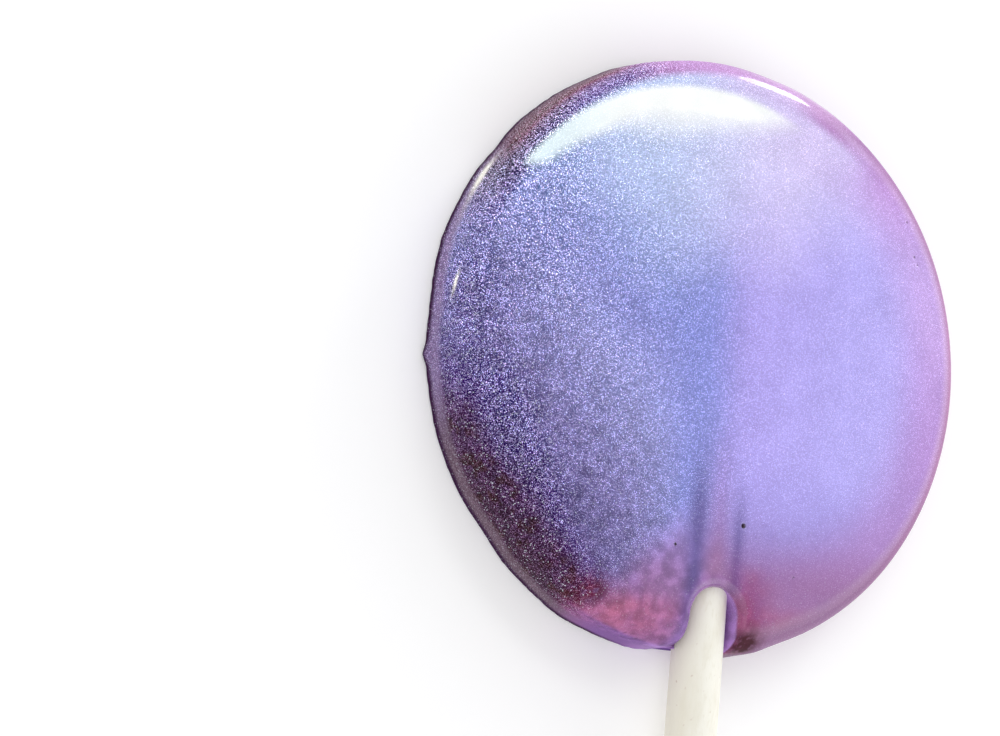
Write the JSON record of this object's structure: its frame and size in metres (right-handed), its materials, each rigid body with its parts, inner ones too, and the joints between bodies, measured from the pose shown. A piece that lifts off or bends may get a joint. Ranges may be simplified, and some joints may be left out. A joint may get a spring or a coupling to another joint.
{
  "type": "lollipop",
  "caption": "Round flat lollipop of translucent pearly purple hard candy, cast on a white paper stick that comes out through an arched notch.",
  "frame": {"origin": "centre of the candy disc on its flat back face", "axes": "+Z out of the shown face, -Y along the stick away from the disc, +X to the right when the shown face is looked at with the stick down"},
  "size_m": [0.0511, 0.1447, 0.0065],
  "materials": {
    "candy": "translucent hard sugar full of fine pearl flakes, glossy",
    "paper": "tightly rolled off-white paper, matt"
  },
  "bodies": {
    "root": {"candy_disc": "candy", "paper_stick": "paper"}
  },
  "joints": []
}
